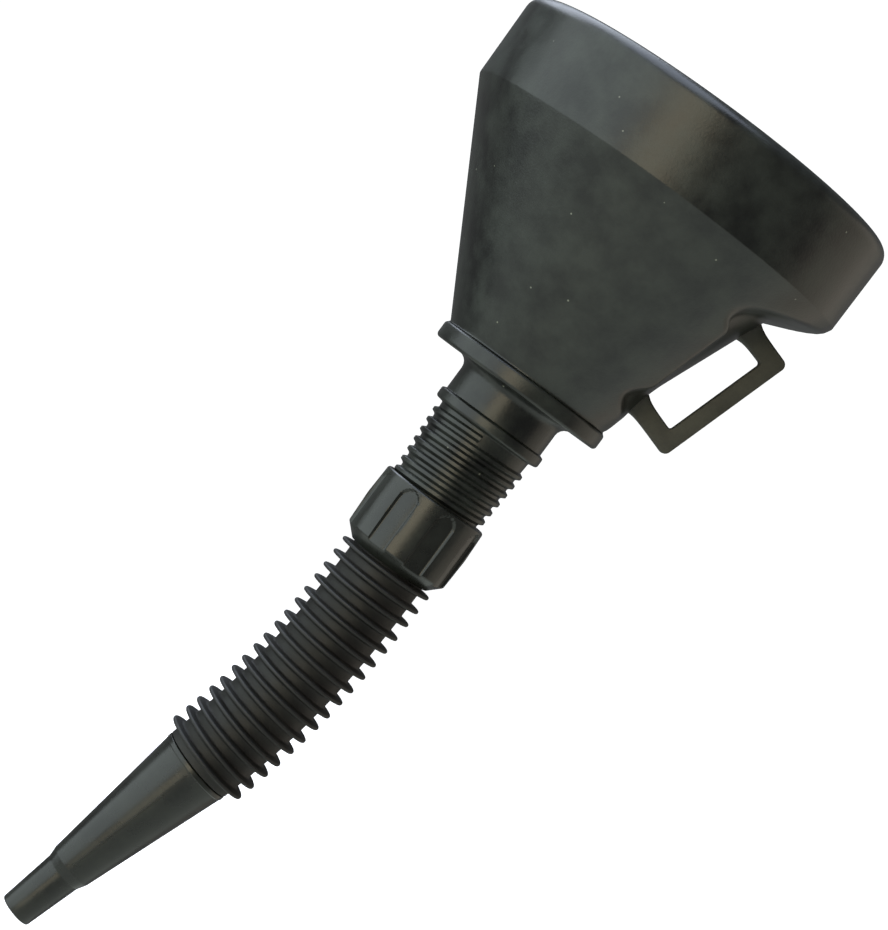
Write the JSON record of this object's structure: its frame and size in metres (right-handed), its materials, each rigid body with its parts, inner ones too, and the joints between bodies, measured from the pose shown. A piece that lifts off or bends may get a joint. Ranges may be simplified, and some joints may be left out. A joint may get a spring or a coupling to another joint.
{
  "type": "funnel",
  "caption": "Wide-mouth fluid funnel with side handle, lift-out strainer, threaded outlet, coupling nut and a bendable bellows spout with a stepped nozzle.",
  "frame": {"origin": "on the bowl's axis, level with the underside of the collar at the foot of the cone", "axes": "+Z along the bowl's axis, out of the mouth; the handle is on +X, and the spout is bent towards -X in the XZ plane"},
  "size_m": [0.16, 0.16, 0.3856],
  "materials": {
    "textured_polyethylene": "black polyethylene, moulded against a spark-eroded tool, dull",
    "smooth_polyethylene": "black polyethylene, moulded against a plain tool, satin",
    "soft_polyethylene": "soft black polyethylene, blow moulded, dull",
    "brass_gauze": "woven brass wire"
  },
  "bodies": {
    "bowl": {"bowl": "textured_polyethylene", "handle": "textured_polyethylene", "outlet_neck": "smooth_polyethylene"},
    "strainer": {"strainer_rim": "smooth_polyethylene", "strainer_gauze": "brass_gauze"},
    "spout_flange": {"spout_flange": "soft_polyethylene"},
    "coupling_nut": {"coupling_nut": "smooth_polyethylene"},
    "bellows_cuff": {"bellows_cuff": "soft_polyethylene"},
    "convolution_02": {"convolution_02": "soft_polyethylene"},
    "convolution_03": {"convolution_03": "soft_polyethylene"},
    "convolution_04": {"convolution_04": "soft_polyethylene"},
    "convolution_05": {"convolution_05": "soft_polyethylene"},
    "convolution_06": {"convolution_06": "soft_polyethylene"},
    "convolution_07": {"convolution_07": "soft_polyethylene"},
    "convolution_08": {"convolution_08": "soft_polyethylene"},
    "convolution_09": {"convolution_09": "soft_polyethylene"},
    "convolution_10": {"convolution_10": "soft_polyethylene"},
    "convolution_11": {"convolution_11": "soft_polyethylene"},
    "convolution_12": {"convolution_12": "soft_polyethylene"},
    "convolution_13": {"convolution_13": "soft_polyethylene"},
    "convolution_14": {"convolution_14": "soft_polyethylene"},
    "convolution_15": {"convolution_15": "soft_polyethylene"},
    "convolution_16": {"convolution_16": "soft_polyethylene"},
    "nozzle": {"bellows_end_cuff": "soft_polyethylene", "nozzle": "smooth_polyethylene"}
  },
  "joints": [
    {"name": "strainer_lift", "type": "slide", "parent": "bowl", "child": "strainer", "axis": [0, 0, 1], "range_m": [0, 0.13]},
    {"name": "spout_travel", "type": "slide", "parent": "bowl", "child": "spout_flange", "axis": [0, 0, -1], "range_m": [0, 0.017]},
    {"name": "nut_turn", "type": "hinge", "parent": "spout_flange", "child": "coupling_nut", "pos_m": [0, 0, -0.0486], "axis": [0, 0, -1], "range_deg": [0, 1440]},
    {"name": "spout_swivel", "type": "hinge", "parent": "spout_flange", "child": "bellows_cuff", "pos_m": [0, 0, -0.0723], "axis": [0, 0, 1], "continuous": true},
    {"name": "bend_01", "type": "hinge", "parent": "bellows_cuff", "child": "convolution_02", "pos_m": [0, 0, -0.083], "axis": [0, 1, 0], "range_deg": [-7, 4]},
    {"name": "side_bend_01", "type": "hinge", "parent": "convolution_02", "child": "convolution_03", "pos_m": [-0.00011, 0, -0.089], "axis": [0.9998, 0, -0.0175], "range_deg": [-6.25, 6.25]},
    {"name": "bend_02", "type": "hinge", "parent": "convolution_03", "child": "convolution_04", "pos_m": [-0.00021, 0, -0.095], "axis": [0, 1, 0], "range_deg": [-7, 4]},
    {"name": "side_bend_02", "type": "hinge", "parent": "convolution_04", "child": "convolution_05", "pos_m": [-0.00047, 0, -0.10099], "axis": [0.9991, 0, -0.0432], "range_deg": [-6.25, 6.25]},
    {"name": "bend_03", "type": "hinge", "parent": "convolution_05", "child": "convolution_06", "pos_m": [-0.00073, 0, -0.10699], "axis": [0, 1, 0], "range_deg": [-7, 4]},
    {"name": "side_bend_03", "type": "hinge", "parent": "convolution_06", "child": "convolution_07", "pos_m": [-0.00117, 0, -0.11297], "axis": [0.9973, 0, -0.0731], "range_deg": [-6.25, 6.25]},
    {"name": "bend_04", "type": "hinge", "parent": "convolution_07", "child": "convolution_08", "pos_m": [-0.00161, 0, -0.11896], "axis": [0, 1, 0], "range_deg": [-7, 4]},
    {"name": "side_bend_04", "type": "hinge", "parent": "convolution_08", "child": "convolution_09", "pos_m": [-0.00224, 0, -0.12492], "axis": [0.9944, 0, -0.1061], "range_deg": [-6.25, 6.25]},
    {"name": "bend_05", "type": "hinge", "parent": "convolution_09", "child": "convolution_10", "pos_m": [-0.00288, 0, -0.13089], "axis": [0, 1, 0], "range_deg": [-7, 4]},
    {"name": "side_bend_05", "type": "hinge", "parent": "convolution_10", "child": "convolution_11", "pos_m": [-0.00373, 0, -0.13683], "axis": [0.9899, 0, -0.1416], "range_deg": [-6.25, 6.25]},
    {"name": "bend_06", "type": "hinge", "parent": "convolution_11", "child": "convolution_12", "pos_m": [-0.00458, 0, -0.14277], "axis": [0, 1, 0], "range_deg": [-7, 4]},
    {"name": "side_bend_06", "type": "hinge", "parent": "convolution_12", "child": "convolution_13", "pos_m": [-0.00565, 0, -0.14867], "axis": [0.9838, 0, -0.1791], "range_deg": [-6.25, 6.25]},
    {"name": "bend_07", "type": "hinge", "parent": "convolution_13", "child": "convolution_14", "pos_m": [-0.00673, 0, -0.15457], "axis": [0, 1, 0], "range_deg": [-7, 4]},
    {"name": "side_bend_07", "type": "hinge", "parent": "convolution_14", "child": "convolution_15", "pos_m": [-0.00804, 0, -0.16043], "axis": [0.9759, 0, -0.2183], "range_deg": [-6.25, 6.25]},
    {"name": "bend_08", "type": "hinge", "parent": "convolution_15", "child": "convolution_16", "pos_m": [-0.00935, 0, -0.16628], "axis": [0, 1, 0], "range_deg": [-7, 4]},
    {"name": "side_bend_08", "type": "hinge", "parent": "convolution_16", "child": "nozzle", "pos_m": [-0.0109, 0, -0.17208], "axis": [0.9659, 0, -0.2588], "range_deg": [-6.25, 6.25]}
  ],
  "couplings": [
    {"joint": "nut_turn", "follows": "spout_travel", "rad_per_m": 1478.4},
    {"joint": "bend_02", "follows": "bend_01", "ratio": 1},
    {"joint": "side_bend_02", "follows": "side_bend_01", "ratio": 1},
    {"joint": "bend_03", "follows": "bend_01", "ratio": 1},
    {"joint": "side_bend_03", "follows": "side_bend_01", "ratio": 1},
    {"joint": "bend_04", "follows": "bend_01", "ratio": 1},
    {"joint": "side_bend_04", "follows": "side_bend_01", "ratio": 1},
    {"joint": "bend_05", "follows": "bend_01", "ratio": 1},
    {"joint": "side_bend_05", "follows": "side_bend_01", "ratio": 1},
    {"joint": "bend_06", "follows": "bend_01", "ratio": 1},
    {"joint": "side_bend_06", "follows": "side_bend_01", "ratio": 1},
    {"joint": "bend_07", "follows": "bend_01", "ratio": 1},
    {"joint": "side_bend_07", "follows": "side_bend_01", "ratio": 1},
    {"joint": "bend_08", "follows": "bend_01", "ratio": 1},
    {"joint": "side_bend_08", "follows": "side_bend_01", "ratio": 1}
  ]
}
